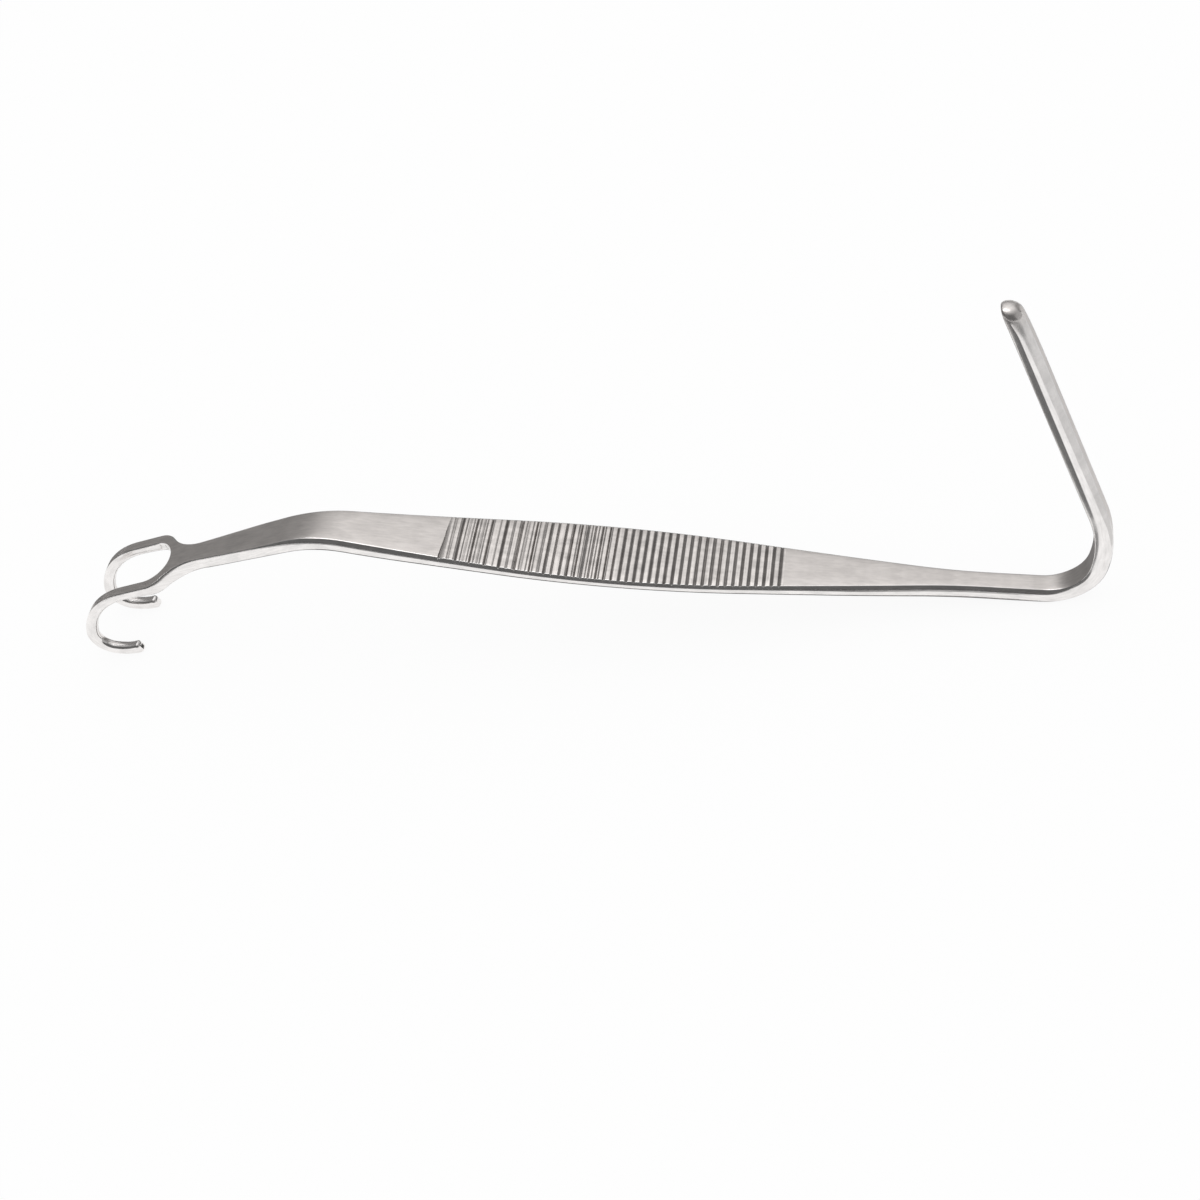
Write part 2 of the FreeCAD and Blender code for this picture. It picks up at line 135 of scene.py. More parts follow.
class PlanViewSizes(bpy.types.PropertyGroup):
    """The bar seen from above, with the grip level."""

    grip_width: length("Grip Width", "Widest place of the grip", 14.3)
    grip_arc_radius: length("Grip Arc Radius", "Bow of the grip's sides", 300.0)
    grip_centre_offset: length("Grip Centre Offset", "From the thinnest to the widest place", 3.0)
    heel_taper: angle("Heel Taper", "Slant of the sides towards the heel", 5.2)
    heel_blend_radius: length("Heel Blend Radius", "Where the taper runs into the blade", 150.0)
    blade_width: length("Blade Width", "Width of heel and blade", 4.8)
    neck_taper: angle("Neck Taper", "Slant of the sides towards the neck", 3.75)
    neck_width: length("Neck Width", "Narrowest place of the neck", 4.84)
    neck_arc_radius: length("Neck Arc Radius", "Where the neck flares out", 8.0)
    shoulder_radius: length("Shoulder Radius", "Shoulders of the fork", 4.0)
    fork_width: length("Fork Width", "Over both prongs", 14.4)
    prong_width: length("Prong Width", "Width of one prong", 2.2)
    crotch_inset: length("Crotch Inset", "From the crotch to the shoulders' end", 3.8)
    tip_flat: length("Tip Flat", "Flat left between the tip's rounded corners", 0.2)
    toe_corner_radius: length("Toe Corner Radius", "Corners of the toes", 0.9)


class EdgeSizes(bpy.types.PropertyGroup):
    """The side faces: a soft crease, a bevel that curves into the wall, and a soft lower rim."""

    crease_radius: length("Crease Radius", "Softness of the crease beside the top face", 0.3)
    bevel_width: length("Bevel Width", "How far the bevel stands out past the crease", 0.6)
    bevel_depth: length("Bevel Depth", "Depth at which the bevel meets the wall", 1.1)
    blade_bevel_depth: length("Blade Bevel Depth", "Depth of the bevel on the blade", 1.4)
    heel_narrowing: fraction("Heel Narrowing", "Share by which the bevel narrows there", 0.45)
    crown: length("Crown", "How far the top face falls to its edges", 0.22)
    fork_bevel_width: length("Fork Bevel Width", "Width of the bevel on fork and hooks", 0.15)
    fork_bevel_depth: length("Fork Bevel Depth", "Depth of the bevel on fork and hooks", 0.3)
    fork_bevel_start: length("Fork Bevel Start", "From the grip to where the bevel narrows", 60.0)
    fork_bevel_blend: length("Fork Bevel Blend", "Length over which the bevel narrows", 14.0)
    bottom_radius: length("Bottom Radius", "Rounding of the lower rims", 0.95)
    blade_bottom_radius: length("Blade Bottom Radius", "Rounding behind the blade", 1.5)
    toe_radius: length("Toe Radius", "Rounding of the hooks' blunt ends", 0.8)
    tip_radius: length("Tip Radius", "Rounding behind the blade's tip", 2.0)
    bevel_curve: FloatProperty(name="Bevel Curve", default=1.35, min=1, max=3,
                               description="1 is a flat bevel, 2 a round one")


class SerrationSizes(bpy.types.PropertyGroup):
    """The cross serrations on both faces of the grip."""

    pitch: length("Pitch", "From one groove to the next", 1.43)
    depth: length("Depth", "Depth of a groove", 0.3)
    width: length("Width", "Width of a groove at its mouth", 0.72)
    towards_neck: count("Towards Neck", "Grooves on the neck's side", 23)
    towards_heel: count("Towards Heel", "Grooves on the heel's side", 22)
    wander: length("Wander", "How far a groove on the neck's side is out of line", 0.14)
    recut_pitch: length("Recut Pitch", "Pitch of the finer second cut on the neck's side", 1.27)
    recut_depth: length("Recut Depth", "Depth of the second cut", 0.1)
    recut_width: length("Recut Width", "Width of the second cut", 0.3)
    facet: length("Facet", "Width of the slanted facet at the neck's end", 1.2)
    unevenness: fraction("Unevenness", "Share by which depths differ", 0.3)
    seed: count("Seed", "Picks which grooves are shallower", 3)


class SteelLook(bpy.types.PropertyGroup):
    """Colours and gloss of the steel."""

    satin: colour("Satin", "Colour of the flat faces", (0.73, 0.69, 0.665))
    polished: colour("Polished", "Colour of the side faces", (0.92, 0.895, 0.88))
    satin_roughness: fraction("Satin Roughness", "Roughness of the flat faces", 0.34)
    polished_roughness: fraction("Polished Roughness", "Roughness of the side faces", 0.16)
    mottling: fraction("Mottling", "How much the grain darkens the flat faces", 0.17)
    mill_mottling: fraction("Mill Mottling", "The same for the serrations", 0.38)
    # Painted shade in the grooves: the steel's colour darkens with a groove's depth.
    groove_dirt: fraction("Groove Painted Shade", "How dark the grooves are", 0.5)
    ridge_shine: fraction("Ridge Shine", "How much brighter the ridges are", 0.25)
    grain_height: length("Grain Height", "Height of the grain on the flat faces", 0.02)
    mill_height: length("Mill Height", "Height of the marks on the serrations", 0.03)


class StudioSizes(bpy.types.PropertyGroup):
    """Camera, floor and lights."""

    lens: FloatProperty(name="Lens", description="Focal length on a 36 mm wide sensor",
                        default=57.0, min=1)
    camera_place: point("Camera Place", "Where the camera is", (0.0339, -0.23589, 0.2740))
    camera_aim: point("Camera Aim", "Point that it looks at", (-0.00338, -0.00349, -0.0078))
    camera_roll: angle("Camera Roll", "Turn of the camera about its view", -1.96)
    shadow: fraction("Shadow", "How much of the shadow shows on the floor", 0.09)


# Curves

# Distance between the points at which a curve is measured.
SAMPLE = 0.0002


class Path:
    """A flat curve of runs and bends, each tangent to the last."""

    def __init__(self, x=0.0, y=0.0, heading=0.0):
        self.point = np.array([x, y])
        self.heading = heading
        self.parts = []
        self.total = 0.0

    def run(self, distance):
        """A straight run."""
        self.add(distance, 0.0)

    def left(self, radius, turn):
        """An arc that turns to the left."""
        self.add(radius * turn, 1 / radius)

    def right(self, radius, turn):
        """An arc that turns to the right."""
        self.add(radius * turn, -1 / radius)

    def add(self, distance, curvature):
        """A piece of constant curvature at the path's end."""
        self.parts.append((self.total, self.point, self.heading, curvature))
        self.point, self.heading = self.along(self.point, self.heading, curvature, distance)
        self.total += distance

    def centre(self, radius):
        """Centre of an arc that would turn to the left from the path's end."""
        return self.point + np.array([-math.sin(self.heading), math.cos(self.heading)]) * radius

    @staticmethod
    def along(point, heading, curvature, distance):
        """Point and heading after a distance on a straight or a bend."""
        end = heading + curvature * distance
        if curvature == 0.0:
            step = np.array([np.cos(heading), np.sin(heading)]) * distance
        else:
            swept = np.array([np.sin(end) - np.sin(heading), np.cos(heading) - np.cos(end)])
            step = swept / curvature
        return point + step, end

    def at(self, distances):
        """Points and headings at an array of distances from the start."""
        starts = [start for start, _, _, _ in self.parts]
        which = np.clip(np.searchsorted(starts, distances, side="right") - 1, 0, None)
        points, headings = [], []
        for index, distance in zip(which, distances):
            start, point, heading, curvature = self.parts[index]
            place, turned = self.along(point, heading, curvature, distance - start)
            points.append(place)
            headings.append(turned)
        return np.array(points), np.array(headings)

    def spread(self, step):
        """Distances spread over the whole path, at most a step apart."""
        return np.linspace(0, self.total, int(self.total / step) + 2)


def bow(reach, rise):
    """Radius and turn of a shallow arc that starts level and rises over a reach."""
    return (reach ** 2 + rise ** 2) / (2 * rise), 2 * math.atan(rise / reach)


def smooth(share):
    """Smooth step from 0 to 1."""
    share = np.clip(share, 0, 1)
    return share * share * (3 - 2 * share)


def between(first, second, share):
    """A value that goes from the first to the second with the share."""
    return first + (second - first) * share


# Side view and plan view

# Points round a corner of the tip or the toes, and round the bend of the crotch.
CORNER_STEPS = 14
CROTCH_STEPS = 16


class Swell:
    """The shallow arcs over which the bar thickens from the grip towards one of its ends."""

    def __init__(self, size, reach, lift):
        self.radius, self.slope = bow(reach, size.bar_thickness - size.grip_thickness + lift)
        self.bar = size.bar_thickness / math.cos(self.slope)
        self.under_run = reach + self.bar * math.sin(self.slope) - lift / math.tan(self.slope / 2)
        self.under_radius = lift / (1 - math.cos(self.slope))


class SideView:
    """Top face and underside of the bar, as curves from the grip to both ends."""

    def __init__(self, size, crotch_reach):
        self.bar_thickness = size.bar_thickness
        self.blade = self.blade_face(size)
        self.hook = self.hook_face(size, crotch_reach)
        self.tip_along = self.blade[0][-1]
        self.toe_along = -self.hook[0][-1]

    def blade_face(self, size):
        """The bar from the grip over the heel to the blade's tip."""
        heel = Swell(size, size.heel_reach, size.heel_lift)
        relief_turn = math.pi - size.blade_angle - size.heel_turn
        top = Path(y=size.grip_thickness)
        top.left(heel.radius, heel.slope)
        top.left(size.heel_radius, size.heel_turn - heel.slope)
        top.left(size.heel_relief_radius, relief_turn)
        top.run(size.blade_length)
        under = Path()
        under.run(heel.under_run)
        under.left(heel.under_radius, heel.slope)
        self.heel_circle = under.centre(size.heel_radius + heel.bar), size.heel_radius + heel.bar
        under.left(size.heel_radius + heel.bar, size.heel_turn - heel.slope)
        under.left(size.heel_relief_radius + heel.bar, relief_turn)
        thinning, slope = bow(size.tip_length, heel.bar - size.tip_thickness)
        rounding = size.tip_round * (math.sin(slope + size.tip_turn) - math.sin(slope))
        under.run(size.blade_length - size.tip_length - rounding)
        under.left(thinning, slope)
        under.left(size.tip_round, size.tip_turn)
        under.run(size.bar_thickness)
        return self.face(top, under, 1)

    def hook_face(self, size, crotch_reach):
        """The bar from the grip over the neck to the toes of the hooks."""
        neck = Swell(size, size.neck_reach, size.neck_lift)
        top = Path(y=size.grip_thickness, heading=math.pi)
        top.right(neck.radius, neck.slope)
        top.left(size.neck_radius, size.neck_angle + neck.slope)
        neck_length = (crotch_reach + size.prong_reach + top.point[0]) / math.cos(size.neck_angle)
        top.run(neck_length)
        top.left(size.crown_radius, size.crown_turn)
        self.hook_circle = top.centre(size.hook_radius), size.hook_radius
        top.left(size.hook_radius, size.hook_turn)
        top.left(size.toe_radius, size.toe_turn)
        thinning = math.acos(1 - (neck.bar - size.prong_thickness) / (2 * size.thinning_radius))
        under = Path(heading=math.pi)
        under.run(neck.under_run)
        under.right(neck.under_radius, neck.slope)
        under.left(size.neck_radius - neck.bar, size.neck_angle + neck.slope)
        under.run(neck_length - 2 * size.thinning_radius * math.sin(thinning))
        under.right(size.thinning_radius, thinning)
        under.left(size.thinning_radius, thinning)
        under.left(size.crown_radius - size.prong_thickness, size.crown_turn)
        under.left(size.hook_radius - size.prong_thickness, size.hook_turn)
        under.left(size.toe_radius - size.prong_thickness, size.toe_turn)
        under.run(size.prong_thickness)
        return self.face(top, under, -1)

    def face(self, top, under, side):
        """Top points, outward normals and thicknesses, one row for each distance."""
        distances = top.spread(SAMPLE)
        points, headings = top.at(distances)
        normals = np.stack([-np.sin(headings), np.cos(headings)], 1) * side
        below, _ = under.at(under.spread(SAMPLE))
        depths = [self.depth(point, normal, below) for point, normal in zip(points, normals)]
        return distances, points, normals, np.array(depths)

    @staticmethod
    def depth(point, normal, below):
        """Thickness of the bar straight below a point of its top face."""
        tangent = np.array([normal[1], -normal[0]])
        across = (below - point) @ tangent
        down = -(below - point) @ normal
        crossings = np.flatnonzero(np.sign(across[:-1]) != np.sign(across[1:]))
        share = across[crossings] / (across[crossings] - across[crossings + 1])
        deep = down[crossings] + share * (down[crossings + 1] - down[crossings])
        deep = deep[deep > 0]
        return deep.min() if len(deep) else math.nan

    def place(self, along, across, depth_share, depth_extra):
        """Points of the bar from their place on the unrolled top face.

        Along is positive towards the blade and negative towards the hooks. The depth
        below the top face is a share of the local thickness and a further distance.
        """
        result = np.zeros((len(along), 3))
        normal = np.zeros((len(along), 3))
        thickness = np.zeros(len(along))
        for table, chosen in ((self.blade, along >= 0), (self.hook, along < 0)):
            distances, points, normals, depths = table
            x, z, normal_x, normal_z, local = (
                np.interp(np.abs(along[chosen]), distances, column)
                for column in (*points.T, *normals.T, depths))
            depth = depth_share[chosen] * local + depth_extra[chosen]
            result[chosen] = np.stack([x - normal_x * depth, across[chosen],
                                       z - normal_z * depth], 1)
            normal[chosen] = np.stack([normal_x, np.zeros(len(x)), normal_z], 1)
            thickness[chosen] = local
        return result, normal, thickness


class PlanView:
    """Half of the bar's outline on the unrolled top face, from the tip to the crotch.

    Each outline is an array of rows with a place along, a place across and the inward
    normal, both in the plane of the unrolled face.
    """

    def __init__(self, size):
        self.size = size
        half = size.grip_width / 2
        blade = Path(x=-size.grip_centre_offset, y=half)
        blade.right(size.grip_arc_radius, size.heel_taper)
        blade.run(self.tapered(size.blade_width, size.heel_blend_radius, size.heel_taper))
        blade.left(size.heel_blend_radius, size.heel_taper)
        self.blade_side, _ = blade.at(blade.spread(SAMPLE))

        fork = Path(x=-size.grip_centre_offset, y=half, heading=math.pi)
        fork.left(size.grip_arc_radius, size.neck_taper)
        fork.run(self.tapered(size.neck_width, size.neck_arc_radius, size.neck_taper))
        flare = math.acos(1 - (size.fork_width - size.neck_width) / 2
                          / (size.neck_arc_radius + size.shoulder_radius))
        fork.right(size.neck_arc_radius, size.neck_taper + flare)
        fork.left(size.shoulder_radius, flare)
        self.fork_side, _ = fork.at(fork.spread(SAMPLE))
        self.crotch_reach = -fork.point[0] - size.crotch_inset

    def tapered(self, end_width, end_radius, taper):
        """Length of the straight side between the grip's bow and the bend at its end."""
        bends = (self.size.grip_arc_radius + end_radius) * (1 - math.cos(taper))
        drop = (self.size.grip_width - end_width) / 2 - bends
        return drop / math.sin(taper)

    def unroll(self, side_view):
        """Take the places along the unrolled face from the side view."""
        distances, points, _, _ = side_view.hook
        level = slice(0, np.argmin(points[:, 0]))
        self.hook_reach = points[level, 0]
        self.hook_along = -distances[level]
        distances, points, _, _ = side_view.blade
        level = slice(0, np.argmax(points[:, 0]))
        self.blade_reach = points[level, 0]
        self.blade_along = distances[level]
        self.tip_along = side_view.tip_along
        self.toe_along = side_view.toe_along
        self.crotch = float(np.interp(self.crotch_reach, -self.hook_reach, self.hook_along))

    def half_width(self, along):
        """Half the width at places along the unrolled face."""
        towards_hook = np.interp(-along, -self.hook_along, self.hook_reach)
        towards_blade = np.interp(along, self.blade_along, self.blade_reach)
        x = np.where(along < 0, towards_hook, towards_blade)
        fork = np.interp(-x, -self.fork_side[:, 0], self.fork_side[:, 1])
        blade = np.interp(x, self.blade_side[:, 0], self.blade_side[:, 1])
        return np.where(x < -self.size.grip_centre_offset, fork, blade)

    def outer_edge(self, along):
        """Outline points of the outer side at places along the unrolled face."""
        return np.stack([along, self.half_width(along)], 1)

    def bar_side(self, stations, crotch):
        """Outline from the middle of the tip, round its corner and along the bar."""
        size = self.size
        half = size.blade_width / 2
        corner = half - size.tip_flat / 2
        end = self.tip_along
        flat = [(end, size.tip_flat / 2 * share) for share in (0, 0.5)]
        turns = np.linspace(0, math.pi / 2, CORNER_STEPS)
        round_corner = [(end - corner * (1 - math.cos(turn)), half - corner * (1 - math.sin(turn)))
                        for turn in turns]
        along = stations[(stations < end - corner) & (stations > crotch)]
        side = self.outer_edge(np.append(along, crotch))
        return with_normals(np.vstack([flat, round_corner, side]), 1)

    def prong_sides(self, stations, crotch, first):
        """Outer and inner outline of a prong, paired row by row, from the crotch to the toe."""
        size = self.size
        radius = size.fork_width / 2 - size.prong_width
        turns = np.linspace(0, math.pi / 2, CROTCH_STEPS)
        inner_bend = [(crotch - radius * (1 - math.cos(turn)), radius * math.sin(turn))
                      for turn in turns]
        outer_bend = self.outer_edge(np.linspace(first, crotch - radius, CROTCH_STEPS))

        corner = size.toe_corner_radius
        along = stations[(stations < crotch - radius) & (stations > self.toe_along + corner)]
        inner_run = np.stack([along, np.full(len(along), radius)], 1)
        outer_run = self.outer_edge(along)

        middle = radius + size.prong_width / 2
        half = size.prong_width / 2
        turns = np.linspace(0, math.pi / 2, CORNER_STEPS)
        toe = [(self.toe_along + corner * (1 - math.sin(turn)),
                half - corner * (1 - math.cos(turn))) for turn in turns]
        toe += [(self.toe_along, (half - corner) / 2), (self.toe_along, 0.0)]
        toe = np.array(toe)
        outer_toe = np.stack([toe[:, 0], middle + toe[:, 1]], 1)
        inner_toe = np.stack([toe[:, 0], middle - toe[:, 1]], 1)
        outer = with_normals(np.vstack([outer_bend, outer_run, outer_toe]), 1)
        inner = with_normals(np.vstack([inner_bend, inner_run, inner_toe]), -1)
        # The middle of the crotch faces straight along the bar.
        inner[0, 2:] = (1, 0)
        return outer, inner


def with_normals(points, side):
    """Outline points with their inward normals, to the left of the way they go for side 1."""
    ahead = np.gradient(points, axis=0)
    ahead[0] = points[1] - points[0]
    ahead[-1] = points[-1] - points[-2]
    ahead /= np.linalg.norm(ahead, axis=1)[:, None]
    inward = np.stack([-ahead[:, 1], ahead[:, 0]], 1) * side
    return np.hstack([points, inward])


# The bar's surface

# Points across the flat faces and down each stretch of a side face.
TOP_STEPS = 6
CREASE_STEPS = 4
BEVEL_STEPS = 8
WALL_STEPS = 3
RIM_STEPS = 6

# Lengths over which the edges' sizes change at the tip, the toes, the heel and the crotch.
TIP_BLEND = 0.006
TOE_BLEND = 0.003
HEEL_BLEND = 0.012
CROWN_BLEND = 0.01

# Least height of the plain wall between the bevel and the lower rim.
WALL_LEAST = 0.0002

# The higher this power, the nearer to its edges the top face begins to fall.
CROWN_POWER = 4

# The rings of points lie this far apart, and closer on the serrations.
RING_STEP = 0.0006
RINGS_PER_GROOVE = 18


def top_crown(plan, points, depth, thickness, crown):
    """How far each point sinks because the top face falls towards its edges."""
    edge = np.clip(np.abs(points[:, 1]) / plan.half_width(points[:, 0]), 0, 1)
    upper = np.clip(1 - 2 * depth / thickness, 0, 1)
    on_bar = smooth((points[:, 0] - plan.crotch) / CROWN_BLEND)
    return crown * edge ** CROWN_POWER * upper * on_bar


def side_profile(edges):
    """Side face from the top's crease to the lower rim, as one row for each point.

    Each row holds the offset inward as shares of the bevel's width and of the lower
    rim's radius, and the depth as shares of the thickness, the bevel's depth and the
    radius. Near the crease the bevel is rounded off with the crease's radius.
    """
    slant = edges.bevel_curve * edges.bevel_width / edges.bevel_depth
    turn = math.atan2(1, slant)
    reach = edges.crease_radius * math.tan(turn / 2)
    rows = []
    for share in np.linspace(0, 1, CREASE_STEPS + 1)[:-1]:
        swept = share * turn
        out = reach + edges.crease_radius * (math.sin(swept) - math.tan(turn / 2))
        down = edges.crease_radius * (1 - math.cos(swept))
        rows.append((1 + (reach - out) / edges.bevel_width, 0, 0, down / edges.bevel_depth, 0))
    first = reach * math.cos(math.atan2(slant, 1)) / edges.bevel_depth
    for share in np.linspace(first, 1, BEVEL_STEPS + 1):
        rows.append(((1 - share) ** edges.bevel_curve, 0, 0, share, 0))
    for share in np.linspace(0, 1, WALL_STEPS + 1)[1:-1]:
        rows.append((0, 0, share, 1 - share, -share))
    for turn in np.linspace(0, math.pi / 2, RIM_STEPS + 1):
        rows.append((0, 1 - math.cos(turn), 1, 0, math.sin(turn) - 1))
    return np.array(rows)


class Skin:
    """Rings of points over the unrolled bar, which bend into place together."""

    def __init__(self, side_view, edges, heel_along):
        self.side_view = side_view
        self.edges = edges
        self.heel_along = heel_along
        self.tip_along = side_view.tip_along
        self.toe_along = side_view.toe_along
        self.profile = side_profile(edges)

    def edge_sizes(self, along):
        """Bevel width, bevel depth and lower radius at places along the bar.

        The bevel is at half its size at the tip, and the lower rim ends short of it.
        """
        edges = self.edges
        _, _, local = self.side_view.place(along, along * 0, along * 0, along * 0)
        on_blade = smooth(along / (self.tip_along / 2) - 1)
        on_fork = smooth((-edges.fork_bevel_start - along) / edges.fork_bevel_blend)
        at_tip = smooth((along - self.tip_along) / TIP_BLEND + 1)
        at_toe = smooth((self.toe_along - along) / TOE_BLEND + 1)
        width = between(edges.bevel_width, edges.fork_bevel_width, on_fork)
        depth = between(edges.bevel_depth, edges.fork_bevel_depth, on_fork)
        past_heel = smooth((along - self.heel_along) / HEEL_BLEND - 1)
        depth += (edges.blade_bevel_depth - edges.bevel_depth) * past_heel
        in_heel = smooth((along - self.heel_along) / HEEL_BLEND * 2) - past_heel
        narrowed = (1 - in_heel * edges.heel_narrowing) * (1 - at_tip / 2)
        width = width * narrowed
        depth = depth * narrowed
        rim = between(edges.bottom_radius, edges.blade_bottom_radius, on_blade)
        rim = between(rim, edges.tip_radius, at_tip)
        rim = between(rim, edges.toe_radius, at_toe)
        thin = np.minimum(local / self.side_view.bar_thickness, 1) * (1 - on_fork) + on_fork
        rim = np.minimum(rim, local - depth * thin - WALL_LEAST)
        return width * thin, depth * thin, rim

    def wall(self, outline):
        """Points of the side face along an outline: along, across, depth share, depth extra."""
        bevel, deep, rim = self.edge_sizes(outline[:, 0])
        by_bevel, by_rim, share, by_deep, by_radius = self.profile.T
        offset = bevel[:, None] * by_bevel + rim[:, None] * by_rim
        along = outline[:, 0, None] + outline[:, 2, None] * offset
        across = outline[:, 1, None] + outline[:, 3, None] * offset
        extra = deep[:, None] * by_deep + rim[:, None] * by_radius
        return np.stack([along, across, np.broadcast_to(share, along.shape), extra], 2)

    @staticmethod
    def flat(one, other):
        """Points across a flat face, between two rims of the same rows."""
        shares = np.linspace(0, 1, TOP_STEPS + 1)[None, :, None]
        return one[:, None] * (1 - shares) + other[:, None] * shares


def grid_faces(rows, columns, first, closed):
    """Quads between the rings of a grid of points."""
    faces = []
    last = columns if closed else columns - 1
    for row in range(rows - 1):
        for column in range(last):
            beside = (column + 1) % columns
            here = first + row * columns
            faces.append((here + column, here + beside, here + columns + beside,
                          here + columns + column))
    return faces


def bar_mesh(sizes):
    """Half of the bar with the grip level: its two views, and then its points by their
    place on the unrolled bar, its faces, and whether each face is a side wall.
    """
    plan = PlanView(sizes.plan_view)
    side_view = SideView(sizes.side_view, plan.crotch_reach)
    plan.unroll(side_view)
    crotch = plan.crotch
    skin = Skin(side_view, sizes.edges, sizes.side_view.heel_reach)
    stations = bar_stations(plan, sizes.serrations)

    # Half of the bar: the flat top from its middle, the side face, and the flat underside.
    bevel, _, rim = (size[0] for size in skin.edge_sizes(np.array([crotch])))
    bar = skin.wall(plan.bar_side(stations, crotch + bevel))
    top_middle = bar[:, 0] * (1, 0, 1, 1)
    under_middle = bar[:, -1] * (1, 0, 1, 1)
    top_middle[-1, 0] = crotch + bevel
    under_middle[-1, 0] = crotch + rim
    half = np.concatenate([skin.flat(top_middle, bar[:, 0])[:, :-1], bar,
                           skin.flat(bar[:, -1], under_middle)[:, 1:]], axis=1)

    # One prong: the same ring, closed by the side face towards the slot.
    outer, inner = plan.prong_sides(stations, crotch, crotch + bevel)
    outer, inner = skin.wall(outer), skin.wall(inner)
    prong = np.concatenate([skin.flat(inner[:, 0], outer[:, 0])[:, :-1], outer,
                            skin.flat(outer[:, -1], inner[:, -1])[:, 1:-1],
                            inner[:, :0:-1]], axis=1)

    points = np.vstack([half.reshape(-1, 4), prong.reshape(-1, 4)])
    faces = grid_faces(*half.shape[:2], 0, False)
    faces += grid_faces(*prong.shape[:2], half.shape[0] * half.shape[1], True)

    # A face is part of a side wall where its ring runs down a side face.
    wall = len(skin.profile) - 1
    half_walls = [TOP_STEPS <= column < TOP_STEPS + wall for column in range(half.shape[1] - 1)]
    prong_walls = [TOP_STEPS <= column < TOP_STEPS + wall or column >= 2 * TOP_STEPS + wall
                   for column in range(prong.shape[1])]
    walls = half_walls * (half.shape[0] - 1) + prong_walls * (prong.shape[0] - 1)
    return plan, side_view, points, faces, walls


def bar_stations(plan, serrations):
    """Places along the bar where it has a ring, close together on the serrations."""
    first = -serrations.towards_neck * serrations.pitch
    last = serrations.towards_heel * serrations.pitch
    fine = serrations.pitch / RINGS_PER_GROOVE
    first -= serrations.facet + FACET_LEAST
    serrated = np.arange(first - fine, last + 2 * fine, fine)
    before = np.arange(plan.toe_along, first - 2 * fine, RING_STEP)
    after = np.arange(last + 3 * fine, plan.tip_along, RING_STEP)
    return np.concatenate([before, serrated, after])[::-1]


def standing(side_view, points):
    """Matrix that stands the level bar on its hooks and its heel, in the CAD part's box."""
    (hook, hook_radius), (heel, heel_radius) = side_view.hook_circle, side_view.heel_circle
    apart = heel - hook
    down = math.atan2(apart[1], apart[0])
    down -= math.acos((hook_radius - heel_radius) / math.hypot(*apart))
    tilt = Matrix.Rotation(math.pi / 2 + down, 4, "Y")
    turned = points @ np.array(tilt.to_3x3()).T
    low, high = turned.min(axis=0), turned.max(axis=0)
    cad_low, cad_high = np.array(CAD_BOX)
    shift = (cad_low + cad_high) / 2 - (low + high) / 2
    shift[2] = cad_low[2] - low[2]
    return Matrix.Translation(shift) @ tilt


# Node trees

def math_node(operation, swapped=False):
    """A method that adds a Math node with its value as the first input, or as the last."""
    def method(value, *others):
        values = (*others, value) if swapped else (value, *others)
        return value.chain.math(operation, *values)
    return method


class NodeValue:
    """A value in a node tree. Plain arithmetic on it adds Math nodes."""

    def __init__(self, chain, socket):
        self.chain = chain
        self.socket = socket

    __add__ = math_node("ADD")
    __sub__ = math_node("SUBTRACT")
    __rsub__ = math_node("SUBTRACT", swapped=True)
    __mul__ = math_node("MULTIPLY")
    __truediv__ = math_node("DIVIDE")
    __pow__ = math_node("POWER")
    __lt__ = math_node("LESS_THAN")
    __gt__ = math_node("GREATER_THAN")
    larger = math_node("MAXIMUM")
    absolute = math_node("ABSOLUTE")
    floor = math_node("FLOOR")
    fraction = math_node("FRACT")

    def join(self, socket):
        """Lead the value into a socket."""
        self.chain.tree.links.new(self.socket, socket)


class NodeChain:
    """Adds nodes to a tree, with short names for the ones that this file needs."""

    def __init__(self, tree):
        self.tree = tree

    def node(self, kind, inputs=(), output=0, **settings):
        """An output of a new node, whose settings come first and whose inputs are then set."""
        node = self.tree.nodes.new(kind)
        for name, value in settings.items():
            setattr(node, name, value)
        for index, value in dict(inputs).items():
            if isinstance(value, NodeValue):
                value.join(node.inputs[index])
            else:
                node.inputs[index].default_value = value
        return NodeValue(self, node.outputs[output])

    def math(self, operation, *values):
        """Result of a Math node."""
        return self.node("ShaderNodeMath", enumerate(values), operation=operation)

    def carry(self, value, low, high, to_low, to_high):
        """A number carried from one range to another, and held inside it."""
        inputs = {0: value, 1: low, 2: high, 3: to_low, 4: to_high}
        return self.node("ShaderNodeMapRange", inputs)

    def mix(self, share, first, second):
        """A number between two others."""
        return self.node("ShaderNodeMix", {0: share, 2: first, 3: second})

    def scale(self, vector, factor):
        """A vector or a colour times a number."""
        inputs = {0: vector, "Scale": factor}
        return self.node("ShaderNodeVectorMath", inputs, operation="SCALE")

    def random(self, low, high, number, seed):
        """A random number for each whole number."""
        inputs = {2: low, 3: high, 7: number, 8: seed}
        return self.node("FunctionNodeRandomValue", inputs, output=1, data_type="FLOAT")

    def geometry_attribute(self, name, kind="FLOAT"):
        """A named attribute, in geometry nodes."""
        return self.node("GeometryNodeInputNamedAttribute", {0: name}, data_type=kind)

    def shader_attribute(self, name):
        """A named attribute, in a material."""
        return self.node("ShaderNodeAttribute", output="Fac", attribute_name=name)


# Serrations

# The inputs of the serrations' tree, by kind. Most carry the name of the setting they take.
TREE_INPUTS = {
    "Geometry": ["Geometry"],
    "Float": ["Pitch", "Depth", "Width", "Wander", "Recut Pitch", "Recut Depth", "Recut Width",
              "Facet", "Unevenness", "Half Width"],
    "Int": ["Towards Neck", "Towards Heel", "Seed"],
    "Material": ["Material"],
}

# On the neck's side a groove can be narrower by up to this share of its width.
NARROWEST = 0.5

# From this many pitches towards the neck, every second groove is shallower by this share.
PAIRED_FROM = 9.0
PAIRED_FAINT = 0.65

